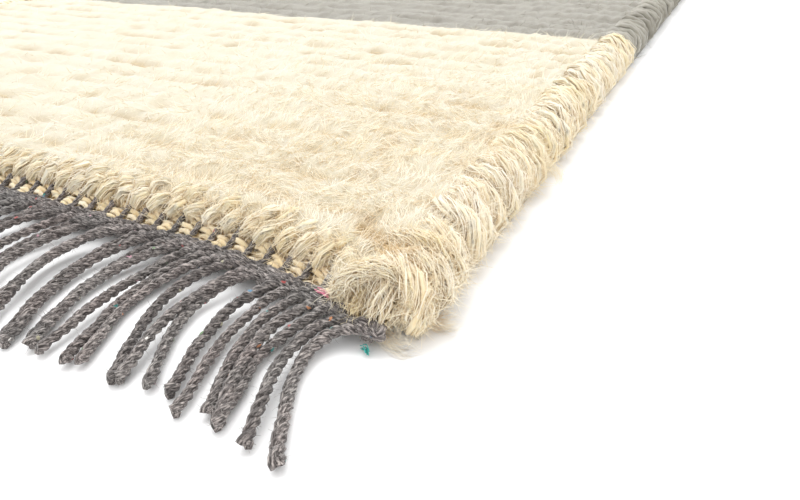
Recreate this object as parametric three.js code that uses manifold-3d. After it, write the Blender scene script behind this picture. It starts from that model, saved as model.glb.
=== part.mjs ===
// A thick hand-woven wool rug with a plaited, fringed end at the front and at the back, lying flat.
// Millimetres, +Z up. The origin is on the floor under the middle of the rug, X runs along the
// rows from selvedge to selvedge, and Y runs along the warps from fringe to fringe.

import * as THREE from 'three';
import Module from 'manifold-3d';

const wasm = await Module();
wasm.setup();

// The wool field
const RUG_WIDTH = 600;
const WOOL_LENGTH = 900;
const ROW_PITCH = 20;
const CREST_HEIGHT = 19;
const FURROW_DEPTH = 3.2;
const UNEVENNESS = 1.1;
const ROWS = Math.round(WOOL_LENGTH / ROW_PITCH);

// The turned wool at the selvedges, one slanting bulge to a row
const SELVEDGE_DEPTH = 13;
const SELVEDGE_BULGE = 3;
const SELVEDGE_SPREAD = 0.4;
const SELVEDGE_SLANT = 0.3;
const CORNER_DRAW_IN = 13;
const CORNER_DRAW_LENGTH = 45;

// The flat-woven strip beyond the wool, and the knots that stand along its edge
const STRIP_LENGTH = 8;
const STRIP_HEIGHT = 6;
const STRIP_FACE_SLOPE = 0.5;
const WARP_PITCH = 9;
const KNOTS = 64;
const KNOT_HEIGHT = 9.5;
const KNOT_OUTWARD = 2;
const KNOT_ROOT = 7;
const KNOT_RADIUS = { crest: 6.6, notch: 4.8 };
const KNOT_SPREAD = 0.12;

// The plait, parted from the strip's end by a small gap
const PLAIT_GAP = 0.35;
const PLAIT_WIDTH = 9;
const PLAIT_HEIGHT = { crest: 8, notch: 6.4 };
const PLAIT_END_TAPER = 0.55;
const PLAIT_OUTER_WAVE = 0.8;
const PLAIT_SHOULDER = 1.8;

// The fringe cords, which stand closer together towards the front right corner
const CORDS = 76;
const CORD_WIDTH = 3.2;
const CORD_HEIGHT = 3.4;
const CORD_REACH = 56;
const CORD_REACH_SPREAD = 3;
const CORD_BOW = 10.5;
const CORD_BOW_SPREAD = 0.6;
const CORD_BOW_EARLY = 0.75;
const CORD_TIP_DRIFT = -1;
const CORD_TIP_SPREAD = 0.7;
const CORD_ROOT_DEPTH = 5;
const CORD_ROOT_LIFT = 2.6;
const CORD_LANDING = 0.35;
const CORD_STEPS = 5;
const CORD_SLOPE_STEP = 0.02;

// How far each corner of an end is pulled outwards, seen from outside that end, and how much its
// cords crowd to the right
const ENDS = [
  { name: 'fringe_front', facing: -1, left: 8, right: 21, crowding: 0.17, seed: 3 },
  { name: 'fringe_back', facing: 1, left: 7, right: 9, crowding: 0, seed: 11 },
];
const PULL_LENGTH = 110;
const PULL_SHORTENS_CORD = 1;
const PULL_FANS_CORD = 0.1;

// Rolled locks of wool over the front right corner, measured from that corner's selvedge and end
const CORNER_LOCKS = [
  {
    radius: 8,
    path: [
      { inward: 58, outward: 2, height: 11 },
      { inward: 36, outward: 12, height: 13 },
      { inward: 18, outward: 13, height: 11 },
      { inward: 10, outward: 3, height: 9 },
    ],
  },
  {
    radius: 8.5,
    path: [
      { inward: 26, outward: -6, height: 13 },
      { inward: 8, outward: -8, height: 12 },
      { inward: 4, outward: -28, height: 11.5 },
      { inward: 10, outward: -44, height: 11 },
    ],
  },
];
const LOCK_SIDES = 7;
const LOCK_STEPS = 7;
const LOCK_TAPER = 0.6;

const WOOL_COLOUR = '#f3ead3';
const CORD_COLOUR = '#77706d';

const HALF_LENGTH = WOOL_LENGTH / 2;
const COLUMN_STEPS = 6;
const COLUMN_REACH = RUG_WIDTH / 2 - CORNER_DRAW_IN - SELVEDGE_DEPTH;

// Small repeatable unevenness, from -1 to 1
function scatter(index, seed) {
  const value = Math.sin(index * 12.9898 + seed * 78.233) * 43758.5453;
  return 2 * (value - Math.floor(value)) - 1;
}

// Slow swells and dips of the hand-laid wool, from -1 to 1
function swell(x, y) {
  const wide = Math.sin(x * 0.021 + 1.3 * Math.sin(y * 0.013));
  const narrow = Math.sin(x * 0.067 + y * 0.049 + 2);
  return 0.6 * wide + 0.4 * narrow;
}

// Columns across the wool, closest together near the selvedges
function columns() {
  const list = [];
  for (let k = COLUMN_STEPS; k >= -COLUMN_STEPS; k -= 1) {
    list.push(Math.sin((Math.PI / 2) * (k / COLUMN_STEPS)));
  }
  return list;
}

// How far an end is pulled outwards at a place across it, straight from column to column
function pullAt(across, end) {
  const smooth = (place) => {
    const right = Math.max(0, 1 - (RUG_WIDTH / 2 - place) / PULL_LENGTH);
    const left = Math.max(0, 1 - (RUG_WIDTH / 2 + place) / PULL_LENGTH);
    return end.right * right ** 2 + end.left * left ** 2;
  };
  const stops = columns().map((share) => share * COLUMN_REACH).reverse();
  stops.unshift(-RUG_WIDTH / 2);
  stops.push(RUG_WIDTH / 2);
  const found = stops.findIndex((stop) => stop >= across);
  const last = Math.max(1, found);
  const share = (across - stops[last - 1]) / (stops[last] - stops[last - 1]);
  return smooth(stops[last - 1]) * (1 - share) + smooth(stops[last]) * share;
}

// A point beside the front end: across it, outwards from the wool's edge, and up
function beside(across, outward, height, end) {
  return new THREE.Vector3(across, -HALF_LENGTH - outward - pullAt(across, end), height);
}

function geometryOf(points, index) {
  const geometry = new THREE.BufferGeometry();
  const position = points.flatMap((point) => [point.x, point.y, point.z]);
  geometry.setAttribute('position', new THREE.Float32BufferAttribute(position, 3));
  geometry.setIndex(index);
  return geometry;
}

// A closed body through rings of points, with a fan over each end
function loft(rings) {
  const count = rings[0].length;
  const index = [];
  for (let ring = 0; ring + 1 < rings.length; ring += 1) {
    for (let i = 0; i < count; i += 1) {
      const near = ring * count + i;
      const side = ring * count + ((i + 1) % count);
      index.push(near, side, side + count, near, side + count, near + count);
    }
  }
  const last = (rings.length - 1) * count;
  for (let i = 1; i + 1 < count; i += 1) {
    index.push(0, i + 1, i);
    index.push(last, last + i, last + i + 1);
  }
  return geometryOf(rings.flat(), index);
}

function solidOf(geometry) {
  const mesh = new wasm.Mesh({
    numProp: 3,
    vertProperties: new Float32Array(geometry.attributes.position.array),
    triVerts: new Uint32Array(geometry.index.array),
  });
  return new wasm.Manifold(mesh);
}

function joined(geometries) {
  const solids = geometries.map(solidOf);
  const whole = solids.reduce((sum, solid) => sum.add(solid));
  const { vertProperties, triVerts } = whole.getMesh();
  const geometry = new THREE.BufferGeometry();
  geometry.setAttribute('position', new THREE.BufferAttribute(vertProperties, 3));
  geometry.setIndex(new THREE.BufferAttribute(triVerts, 1));
  geometry.computeVertexNormals();
  return geometry;
}

// Stations along the rug: the strip's face, the strip, and a furrow and a crest to each row of wool
function stations() {
  const list = [];
  for (let row = 0; row < ROWS; row += 1) {
    const furrow = { along: -HALF_LENGTH + row * ROW_PITCH, row, height: CREST_HEIGHT - FURROW_DEPTH };
    const crest = { along: furrow.along + ROW_PITCH / 2, row: row + 0.5, height: CREST_HEIGHT };
    list.push(furrow, crest);
  }
  list.push({ along: HALF_LENGTH, row: ROWS, height: STRIP_HEIGHT });
  list[0].height = STRIP_HEIGHT;
  const stripEnd = HALF_LENGTH + STRIP_LENGTH;
  for (const facing of [-1, 1]) {
    const row = facing < 0 ? 0 : ROWS;
    const strip = [
      { along: facing * (stripEnd - STRIP_FACE_SLOPE), row, height: STRIP_HEIGHT },
      { along: facing * stripEnd, row, height: 0 },
    ];
    if (facing < 0) {
      list.unshift(strip[1], strip[0]);
    } else {
      list.push(strip[0], strip[1]);
    }
  }
  return list;
}

// One selvedge of a station: from its foot on the floor up and over onto the wool
function selvedgePoints(station, side) {
  const fromEnd = HALF_LENGTH + STRIP_LENGTH - Math.abs(station.along);
  const drawn = Math.max(0, 1 - fromEnd / CORNER_DRAW_LENGTH) ** 2;
  const edge = RUG_WIDTH / 2 - CORNER_DRAW_IN * drawn;
  const full = station.height / CREST_HEIGHT;
  const levels = [
    { height: 0, inset: 5, flat: 0, swells: 0 },
    { height: 0.22, inset: 2, flat: 1, swells: 0.7 },
    { height: 0.55, inset: 1, flat: 2, swells: 1 },
    { height: 0.87, inset: 4, flat: 3, swells: 0.6 },
  ];
  return levels.map((level) => {
    const turn = Math.cos(2 * Math.PI * (station.row + SELVEDGE_SLANT * level.height - 0.5));
    const uneven = 1 + SELVEDGE_SPREAD * scatter(Math.floor(station.row), side);
    const bulge = SELVEDGE_BULGE * level.swells * turn * uneven;
    const inset = level.flat + (level.inset - bulge - level.flat) * full;
    return new THREE.Vector3(side * (edge - inset), station.along, level.height * station.height);
  });
}

// The wool and its strips as one blanket of stations, closed by a flat underside
function fieldGeometry() {
  const rows = stations().map((station) => {
    const right = selvedgePoints(station, 1);
    const left = selvedgePoints(station, -1).reverse();
    const reach = right[0].x - SELVEDGE_DEPTH;
    const thick = station.height / CREST_HEIGHT;
    const top = columns().map((share) => {
      const across = share * (station.height > STRIP_HEIGHT ? reach : COLUMN_REACH);
      const lift = UNEVENNESS * thick * swell(across, station.along);
      const height = station.height > STRIP_HEIGHT ? station.height + lift : station.height;
      return new THREE.Vector3(across, station.along, height);
    });
    return [...right, ...top, ...left];
  });
  for (const point of rows.flat()) {
    const end = ENDS[point.y < 0 ? 0 : 1];
    const fade = Math.max(0, 1 - (HALF_LENGTH - Math.abs(point.y)) / PULL_LENGTH);
    const across = -end.facing * point.x;
    point.y += end.facing * pullAt(across, end) * Math.min(1, fade ** 2);
  }
  const count = rows[0].length;
  const index = [];
  for (let row = 0; row + 1 < rows.length; row += 1) {
    for (let i = 0; i + 1 < count; i += 1) {
      const near = row * count + i;
      const far = near + count;
      index.push(near, far, near + 1, near + 1, far, far + 1);
    }
  }
  const rim = [];
  const lastRow = (rows.length - 1) * count;
  for (let row = 0; row < rows.length; row += 1) {
    rim.push(row * count);
  }
  for (let i = 1; i < count; i += 1) {
    rim.push(lastRow + i);
  }
  for (let row = rows.length - 2; row >= 0; row -= 1) {
    rim.push(row * count + count - 1);
  }
  for (let i = count - 2; i > 0; i -= 1) {
    rim.push(i);
  }
  const points = rows.flat();
  const outline = rim.map((corner) => new THREE.Vector2(points[corner].x, points[corner].y));
  for (const [a, b, c] of THREE.ShapeUtils.triangulateShape(outline, [])) {
    index.push(rim[a], rim[c], rim[b]);
  }
  return geometryOf(points, index);
}

// Turns a geometry built at the front round to the end that it belongs to
function turnedTo(geometry, end) {
  return end.facing < 0 ? geometry : geometry.rotateZ(Math.PI);
}

// The row of knots along the wool's edge, a swelling at each warp
function knotRowGeometry(end) {
  const reach = ((KNOTS - 1) / 2) * WARP_PITCH;
  const rings = [];
  for (let half = 0; half <= 2 * (KNOTS - 1); half += 1) {
    const across = -reach + half * (WARP_PITCH / 2);
    const radius = half % 2 === 0 ? KNOT_RADIUS.crest : KNOT_RADIUS.notch;
    const size = radius * (1 + KNOT_SPREAD * scatter(half, end.seed));
    rings.push([
      beside(across, KNOT_OUTWARD, KNOT_HEIGHT + size, end),
      beside(across, KNOT_OUTWARD + size, KNOT_HEIGHT, end),
      beside(across, KNOT_OUTWARD, STRIP_HEIGHT / 2, end),
      beside(across, -KNOT_ROOT, KNOT_HEIGHT, end),
    ]);
  }
  return turnedTo(loft(rings), end);
}

// A rolled lock of wool: a bent, tapering roll that stays above the floor
function lockGeometry(lock, end) {
  const places = lock.path.map(({ inward, outward, height }) => (
    beside(RUG_WIDTH / 2 - inward, outward, height, { ...end, left: 0, right: 0 })));
  const curve = new THREE.CatmullRomCurve3(places);
  const frames = curve.computeFrenetFrames(LOCK_STEPS);
  const rings = [];
  for (let step = 0; step <= LOCK_STEPS; step += 1) {
    const share = step / LOCK_STEPS;
    const middle = curve.getPointAt(share);
    const radius = lock.radius * (1 - LOCK_TAPER * Math.abs(2 * share - 1) ** 3);
    const ring = [];
    for (let side = 0; side < LOCK_SIDES; side += 1) {
      const angle = (2 * Math.PI * side) / LOCK_SIDES;
      const point = middle.clone();
      point.addScaledVector(frames.normals[step], radius * Math.cos(angle));
      point.addScaledVector(frames.binormals[step], radius * Math.sin(angle));
      ring.push(point);
    }
    rings.push(ring);
  }
  return loft(rings);
}

// The plait along an end: a low ridge, notched where its cords cross
function plaitGeometry(end) {
  const reach = ((KNOTS - 1) / 2) * WARP_PITCH;
  const back = STRIP_LENGTH + PLAIT_GAP;
  const halves = 2 * (KNOTS - 1);
  const rings = [];
  for (let half = 0; half <= halves; half += 1) {
    const across = -reach + half * (WARP_PITCH / 2);
    const atEnd = half === 0 || half === halves;
    const size = atEnd ? PLAIT_END_TAPER : 1;
    const height = size * (half % 2 === 0 ? PLAIT_HEIGHT.crest : PLAIT_HEIGHT.notch);
    const wave = PLAIT_OUTER_WAVE * (half % 2 === 0 ? 1 : -1);
    const front = back + size * (PLAIT_WIDTH + wave);
    rings.push([
      beside(across, back, 0, end),
      beside(across, back + PLAIT_SHOULDER, height, end),
      beside(across, front - PLAIT_SHOULDER, height, end),
      beside(across, front, 0, end),
    ]);
  }
  return loft(rings);
}

// One fringe cord: it leaves the plait low, bows to one side and comes to lie on the floor
function cordGeometry(number, end) {
  const order = number / (CORDS - 1);
  const crowded = order + end.crowding * order * (1 - order);
  const root = (crowded - 0.5) * (KNOTS - 1) * WARP_PITCH;
  const start = STRIP_LENGTH + PLAIT_GAP + PLAIT_WIDTH - CORD_ROOT_DEPTH;
  const pull = pullAt(root, end);
  const length = CORD_REACH + CORD_REACH_SPREAD * scatter(number, end.seed) - PULL_SHORTENS_CORD * pull;
  const reach = CORD_ROOT_DEPTH + length;
  const bow = CORD_BOW + CORD_BOW_SPREAD * scatter(number, end.seed + 1);
  const stray = CORD_TIP_SPREAD * scatter(number, end.seed + 2);
  const drift = CORD_TIP_DRIFT + stray + PULL_FANS_CORD * pull;
  const middleAt = (share) => {
    const across = root - bow * Math.sin(Math.PI * share ** CORD_BOW_EARLY) + drift * share;
    const outward = start + reach * share;
    return new THREE.Vector2(across, -HALF_LENGTH - outward - pull);
  };
  const rings = [];
  for (let step = 0; step <= CORD_STEPS; step += 1) {
    const share = step / CORD_STEPS;
    const middle = middleAt(share);
    const before = middleAt(Math.max(0, share - CORD_SLOPE_STEP));
    const along = middleAt(share + CORD_SLOPE_STEP).sub(before).normalize();
    const lift = CORD_ROOT_LIFT * Math.max(0, 1 - share / CORD_LANDING) ** 2;
    const sideX = (-along.y * CORD_WIDTH) / 2;
    const sideY = (along.x * CORD_WIDTH) / 2;
    rings.push([
      new THREE.Vector3(middle.x + sideX, middle.y + sideY, lift),
      new THREE.Vector3(middle.x, middle.y, lift + CORD_HEIGHT),
      new THREE.Vector3(middle.x - sideX, middle.y - sideY, lift),
    ]);
  }
  return loft(rings);
}

function rugMesh() {
  const locks = CORNER_LOCKS.map((lock) => lockGeometry(lock, ENDS[0]));
  const geometry = joined([fieldGeometry(), ...ENDS.map(knotRowGeometry), ...locks]);
  const wool = new THREE.MeshStandardMaterial({ color: WOOL_COLOUR, roughness: 0.95, metalness: 0 });
  const mesh = new THREE.Mesh(geometry, wool);
  mesh.name = 'rug';
  return mesh;
}

function fringeMesh(end) {
  const cords = [];
  for (let number = 0; number < CORDS; number += 1) {
    cords.push(cordGeometry(number, end));
  }
  const cotton = new THREE.MeshStandardMaterial({ color: CORD_COLOUR, roughness: 0.9, metalness: 0 });
  const mesh = new THREE.Mesh(joined([plaitGeometry(end), ...cords]), cotton);
  mesh.name = end.name;
  mesh.rotation.z = end.facing < 0 ? 0 : Math.PI;
  return mesh;
}

const group = new THREE.Group();
group.add(rugMesh(), ...ENDS.map(fringeMesh));

export default group;
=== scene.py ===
import math

import bpy
import numpy as np
from mathutils import Matrix, Vector


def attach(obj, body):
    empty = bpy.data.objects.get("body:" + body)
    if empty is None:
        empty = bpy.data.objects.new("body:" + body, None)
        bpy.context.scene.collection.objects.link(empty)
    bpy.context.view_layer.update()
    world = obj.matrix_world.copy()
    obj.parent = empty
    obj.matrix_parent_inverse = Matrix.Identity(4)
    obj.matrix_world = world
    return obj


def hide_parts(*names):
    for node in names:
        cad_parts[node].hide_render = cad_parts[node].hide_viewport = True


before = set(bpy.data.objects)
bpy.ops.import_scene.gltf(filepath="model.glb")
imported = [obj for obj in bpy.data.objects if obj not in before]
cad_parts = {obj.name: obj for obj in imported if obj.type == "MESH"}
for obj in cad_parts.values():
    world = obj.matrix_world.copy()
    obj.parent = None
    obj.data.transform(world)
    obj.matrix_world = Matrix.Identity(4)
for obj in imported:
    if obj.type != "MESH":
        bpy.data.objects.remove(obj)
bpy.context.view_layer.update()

# The viewpoint: a close-up from low over the front right corner, turned a little to the left, so
# that the fringe runs out of the picture on the left and the grey band crosses its top.
MM = 0.001
PICTURE_WIDTH_PX = 800
FOCAL_LENGTH_PX = 656
SENSOR_WIDTH = 36.0
EYE = np.array([364.9, -607.1, 122.4])
TURNED_LEFT = math.radians(28.33)
LOOKING_DOWN = math.radians(30.53)
TILTED = math.radians(-2.0)

ahead = np.array([
    -math.sin(TURNED_LEFT) * math.cos(LOOKING_DOWN),
    math.cos(TURNED_LEFT) * math.cos(LOOKING_DOWN),
    -math.sin(LOOKING_DOWN),
])
level_right = np.array([math.cos(TURNED_LEFT), math.sin(TURNED_LEFT), 0.0])
level_up = np.cross(level_right, ahead)
right = math.cos(TILTED) * level_right + math.sin(TILTED) * level_up
up = math.cos(TILTED) * level_up - math.sin(TILTED) * level_right
lens = bpy.data.cameras.new("close_up")
lens.sensor_fit = "HORIZONTAL"
lens.sensor_width = SENSOR_WIDTH
lens.lens = SENSOR_WIDTH * FOCAL_LENGTH_PX / PICTURE_WIDTH_PX
lens.clip_start = 0.01
camera = bpy.data.objects.new("close_up", lens)
bpy.context.collection.objects.link(camera)
turn = Matrix(np.stack([right, up, -ahead], axis=1).tolist()).to_4x4()
camera.matrix_world = Matrix.Translation((EYE * MM).tolist()) @ turn
bpy.context.scene.camera = camera

# The floor and the light: a plain white sweep, lit from all round by a bright soft room and
# from above the far left by one large soft lamp.
FLOOR_SIZE = 12.0
FLOOR_COLOUR = "#FAFAFA"
ROOM_STRENGTH = 1.2
LAMP_SIZE = 2.6
LAMP_POWER = 75.0
LAMP_PLACE = Vector((-0.9, 0.9, 3.0))
LAMP_AIM = Vector((0.2, -0.4, 0.0))


def linear(hex_colour):
    """An sRGB hex colour as linear red, green, blue and alpha."""
    parts = [int(hex_colour[i:i + 2], 16) / 255 for i in (1, 3, 5)]
    bent = [c / 12.92 if c <= 0.04045 else ((c + 0.055) / 1.055) ** 2.4 for c in parts]
    return (*bent, 1.0)


def add(tree, kind, inputs=None, **settings):
    """Adds a node: sockets among the inputs are linked, other values are set."""
    made = tree.nodes.new(kind)
    for name, value in settings.items():
        setattr(made, name, value)
    for key, value in (inputs or {}).items():
        if isinstance(value, bpy.types.NodeSocket):
            tree.links.new(value, made.inputs[key])
        else:
            made.inputs[key].default_value = value
    return made


def blank_material(name):
    """A new material's tree, with its shader already joined to the output."""
    material = bpy.data.materials.new(name)
    material.use_nodes = True
    tree = material.node_tree
    tree.nodes.clear()
    shader = add(tree, "ShaderNodeBsdfPrincipled")
    add(tree, "ShaderNodeOutputMaterial", {"Surface": shader.outputs[0]})
    return material, tree, shader


def object_from(name, points, faces, material):
    """A mesh object at the origin from points in millimetres."""
    mesh = bpy.data.meshes.new(name)
    mesh.from_pydata((np.asarray(points) * MM).tolist(), [], faces)
    mesh.materials.append(material)
    thing = bpy.data.objects.new(name, mesh)
    bpy.context.collection.objects.link(thing)
    return thing


# Matt white: an even bright ground that takes only soft shadows
floor_paint, _, paint_shader = blank_material("matt_white_sweep")
paint_shader.inputs["Base Color"].default_value = linear(FLOOR_COLOUR)
paint_shader.inputs["Roughness"].default_value = 0.9
half_floor = FLOOR_SIZE / MM / 2
floor_corners = [(-half_floor, -half_floor, 0), (half_floor, -half_floor, 0),
                 (half_floor, half_floor, 0), (-half_floor, half_floor, 0)]
floor = object_from("floor", floor_corners, [(0, 1, 2, 3)], floor_paint)

room = bpy.data.worlds.new("bright_room")
room.use_nodes = True
room.node_tree.nodes["Background"].inputs["Color"].default_value = (1.0, 1.0, 1.0, 1.0)
room.node_tree.nodes["Background"].inputs["Strength"].default_value = ROOM_STRENGTH
bpy.context.scene.world = room
bpy.context.scene.view_settings.view_transform = "Standard"

glow = bpy.data.lights.new("soft_lamp", "AREA")
glow.size = LAMP_SIZE
glow.energy = LAMP_POWER
lamp = bpy.data.objects.new("soft_lamp", glow)
bpy.context.collection.objects.link(lamp)
lamp.location = LAMP_PLACE
lamp.rotation_euler = (LAMP_AIM - LAMP_PLACE).to_track_quat("-Z", "Y").to_euler()

# The wool field: thick hand-spun wool beaten down in rows between the selvedges, felted on top,
# cream at both ends and undyed grey in the middle. Each row is a soft ridge; where two rows
# part, short hollows dip in, and a tan painted shade is put into their colour.
RUG_WIDTH = 600.0
WOOL_LENGTH = 900.0
BAND_LENGTH = 300.0
ROW_PITCH = 20.0
WARP_PITCH = 9.0
PILE = 17.6
FIELD_COLUMNS = 160
FIELD_STATIONS = 240
UNDERSIDE_COLUMNS = 14
FINEST_SHARE = 0.45
FIELD_INSET = 4.0
SIDE_ROUNDING = 15.0
END_ROUNDING = 12.0
END_THICKNESS = 5.0
UNDERSIDE = 0.4
PILE_SHADES = {
    "cream": "#D5CDB8", "warm": "#D0C5A4", "grey": "#8F8B80", "dark": "#706C61", "tan": "#A88546"}
# Painted shade: wool is mixed towards tan where less than this share of the light within reach comes in
PAINTED_SHADE_REACH = 7.0
PAINTED_SHADE_BELOW = 0.46
PAINTED_SHADE_MOST = 0.85
CORNER = np.array([RUG_WIDTH / 2, -WOOL_LENGTH / 2])
# How far each end's corners are pulled outwards, seen from outside that end
FRONT = {"facing": -1, "left": 8.0, "right": 21.0}
BACK = {"facing": 1, "left": 7.0, "right": 9.0}
PULL_LENGTH = 110.0
CREASE = np.array([(262.0, -442.0), (285.0, -455.0), (300.0, -464.0)])
CREASE_WIDTH = 3.2


def rolling(x, y, seed):
    """Smooth noise from -1 to 1, with lumps about one unit across."""
    x_cell, y_cell = np.floor(x), np.floor(y)
    x_part, y_part = x - x_cell, y - y_cell
    x_part = x_part * x_part * (3 - 2 * x_part)
    y_part = y_part * y_part * (3 - 2 * y_part)

    def at(x_step, y_step):
        cell = (x_cell + x_step) * 127.1 + (y_cell + y_step) * 311.7 + seed * 74.7
        value = np.sin(cell) * 43758.5453
        return 2 * (value - np.floor(value)) - 1

    near = at(0, 0) * (1 - x_part) + at(1, 0) * x_part
    far = at(0, 1) * (1 - x_part) + at(1, 1) * x_part
    return near * (1 - y_part) + far * y_part


def pull(across, end):
    """How far an end is pulled outwards at a place across it."""
    to_right = np.clip(1 - (RUG_WIDTH / 2 - across) / PULL_LENGTH, 0, None)
    to_left = np.clip(1 - (RUG_WIDTH / 2 + across) / PULL_LENGTH, 0, None)
    return end["right"] * to_right ** 2 + end["left"] * to_left ** 2


def pulled(x, along):
    """The Y of a place on the wool, with its ends pulled out at the corners."""
    fade = np.clip(1 - (WOOL_LENGTH / 2 - np.abs(along)) / PULL_LENGTH, 0, 1) ** 2
    reach = np.where(along < 0, -pull(x, FRONT), pull(-x, BACK))
    return along + reach * fade


def crevice(x, y):
    """1 along the deep crease from the end knots out past the corner, and 0 away from it."""
    reach = np.full(np.shape(x), np.inf)
    for start, stop in zip(CREASE[:-1], CREASE[1:]):
        step = stop - start
        share = np.clip(((x - start[0]) * step[0] + (y - start[1]) * step[1]) / (step @ step), 0, 1)
        off_x = x - start[0] - share * step[0]
        off_y = y - start[1] - share * step[1]
        reach = np.minimum(reach, np.hypot(off_x, off_y))
    return np.exp(-(reach / CREASE_WIDTH) ** 2)


def pile_surface(x, along):
    """Height of the pile, and its painted tan shade in valleys, low lumps and the crease, from 0 to 1."""
    place = (along + WOOL_LENGTH / 2) / ROW_PITCH + 0.09 * rolling(x / 70, along / 400, 3)
    parting = np.round(place)
    row = np.floor(place)
    ridge = np.abs(np.sin(np.pi * place)) ** 0.6
    dash = np.clip(2.4 * rolling(x / 15, parting * 5.3, 5) - 1.1, 0, 1)
    faint = np.clip(1.6 * rolling(x / 9, parting * 3.7, 6), 0, 1)
    height = PILE - (1.5 + 1.3 * faint + 2.0 * dash) * (1 - ridge)
    phase = x / WARP_PITCH + 0.5 * np.mod(row, 2) + 0.3 * rolling(x / 40, row * 3.1, 8)
    tuft = np.cos(2 * np.pi * phase)
    height += (0.6 * tuft + 1.1 * rolling(x / WARP_PITCH, row * 7.3, 14)) * ridge
    height += 0.8 * rolling(x / 55, along / 48, 11)
    height += 0.5 * rolling(x / 15, along / 13, 12)
    height += 0.45 * rolling(x / 6, along / 5.5, 13)
    from_corner = np.hypot(x - CORNER[0], along - CORNER[1])
    from_edges = np.minimum(WOOL_LENGTH / 2 - np.abs(along), RUG_WIDTH / 2 - np.abs(x))
    loose = np.maximum(np.exp(-from_corner / 60), 0.9 * np.exp(-from_edges / 28))
    lump = rolling((x - 0.35 * along) / 9, along / 13, 17)
    height += 2.2 * loose * lump
    valley = (1 - ridge) ** 1.3
    # Painted shade: tan in the partings between rows, the dashes and the low sides of the loose lumps
    tan_and_painted_shade = (0.7 * dash + 0.45 * faint + 0.1) * valley - 0.9 * loose * np.minimum(lump + 0.25, 0)
    crease = crevice(x, pulled(x, along))
    # The crease is sunk 4 mm and takes a painted tan shade as well
    return height - 4.0 * crease, np.clip(tan_and_painted_shade + 0.9 * crease, 0, 1)


def greyness(x, along):
    """1 in the grey band and 0 in the cream ones, with the weave's uneven edge between."""
    edge = 1.6 * rolling(x / 9, 0 * x, 21) + 1.2 * rolling(x / 4, 0 * x, 22)
    return np.clip((BAND_LENGTH / 2 - np.abs(along + edge)) / 1.5 + 0.5, 0, 1)


def eased(count):
    """Shares from -1 to 1, closest together at 1."""
    share = np.linspace(0, 1, count)
    return -1 + 2 * (FINEST_SHARE * share + (1 - FINEST_SHARE) * (1 - (1 - share) ** 2))


def wool_colour(tree, shades):
    """Undyed wool: cream or grey by its band, never quite even, mixed towards tan (dark grey in the grey
    band) by the stored tan and painted shade, and by painted shade where little light reaches.
    """
    where = add(tree, "ShaderNodeTexCoord").outputs["Object"]
    grey = add(tree, "ShaderNodeAttribute", attribute_name="grey").outputs["Fac"]
    tan_and_painted_shade = add(tree, "ShaderNodeAttribute", attribute_name="tan_and_painted_shade").outputs["Fac"]
    # Painted shade: an ambient occlusion test turns the wool tan, or dark grey in the grey band, where little
    # light reaches
    sky = add(tree, "ShaderNodeAmbientOcclusion", {"Distance": PAINTED_SHADE_REACH * MM}, samples=3)
    ao_painted_shade = add(tree, "ShaderNodeMapRange", {
        "Value": sky.outputs["AO"], "From Min": PAINTED_SHADE_BELOW, "From Max": 0.0, "To Max": PAINTED_SHADE_MOST})
    tan_and_shade_share = add(tree, "ShaderNodeMath", {0: tan_and_painted_shade, 1: ao_painted_shade.outputs[0]}, operation="MAXIMUM")
    tone = add(tree, "ShaderNodeAttribute", attribute_name="tone").outputs["Fac"]
    patch = add(tree, "ShaderNodeTexNoise", {"Vector": where, "Scale": 1 / (14 * MM), "Detail": 4.0})
    warm = add(tree, "ShaderNodeMath", {0: patch.outputs["Fac"], 1: tone}, operation="ADD")
    warmer = add(tree, "ShaderNodeMapRange", {"Value": warm.outputs[0], "From Min": 0.4, "From Max": 1.3})
    pale, deep, dull, dark, tan = (linear(shades[name]) for name in ("cream", "warm", "grey", "dark", "tan"))
    cream = add(tree, "ShaderNodeMix", {0: warmer.outputs[0], 6: pale, 7: deep}, data_type="RGBA")
    greys = add(tree, "ShaderNodeMix", {0: warmer.outputs[0], 6: dull, 7: dark}, data_type="RGBA")
    tan_and_shade_colour = add(tree, "ShaderNodeMix", {0: grey, 6: tan, 7: dark}, data_type="RGBA")
    outside = add(tree, "ShaderNodeMix", {
        0: grey, 6: cream.outputs[2], 7: greys.outputs[2]}, data_type="RGBA")
    whole = add(tree, "ShaderNodeMix", {
        0: tan_and_shade_share.outputs[0], 6: outside.outputs[2], 7: tan_and_shade_colour.outputs[2]}, data_type="RGBA")
    return where, whole.outputs[2]


def soft_finish(shader, sheen):
    """Wool and cotton scatter light: rough, with a soft bloom at grazing angles."""
    shader.inputs["Roughness"].default_value = 0.92
    shader.inputs["Specular IOR Level"].default_value = 0.15
    shader.inputs["Sheen Weight"].default_value = sheen
    shader.inputs["Sheen Roughness"].default_value = 0.5


def let_light_in(shader, depth):
    """Loose wool lets light sink a little way in, which fills its shadows."""
    shader.inputs["Subsurface Weight"].default_value = 0.7
    shader.inputs["Subsurface Radius"].default_value = (1.0, 0.96, 0.91)
    shader.inputs["Subsurface Scale"].default_value = depth * MM


# Felted wool: cloudy cream or grey, with a painted tan shade in its hollows and wherever little light reaches
# it, soft because light sinks into it
pile_wool, pile_tree, pile_shader = blank_material("felted_wool_pile")
pile_where, pile_colour = wool_colour(pile_tree, PILE_SHADES)
pile_tree.links.new(pile_colour, pile_shader.inputs["Base Color"])
soft_finish(pile_shader, 0.4)
let_light_in(pile_shader, 4.0)
FELT_FIBRE = 1.1
felt = add(pile_tree, "ShaderNodeTexNoise", {
    "Vector": pile_where, "Scale": 1 / (FELT_FIBRE * MM), "Detail": 5.0, "Roughness": 0.65,
    "Distortion": 1.2})
felt_bump = add(pile_tree, "ShaderNodeBump", {
    "Strength": 0.7, "Distance": 0.9 * MM, "Height": felt.outputs["Fac"]})
pile_tree.links.new(felt_bump.outputs[0], pile_shader.inputs["Normal"])

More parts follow.
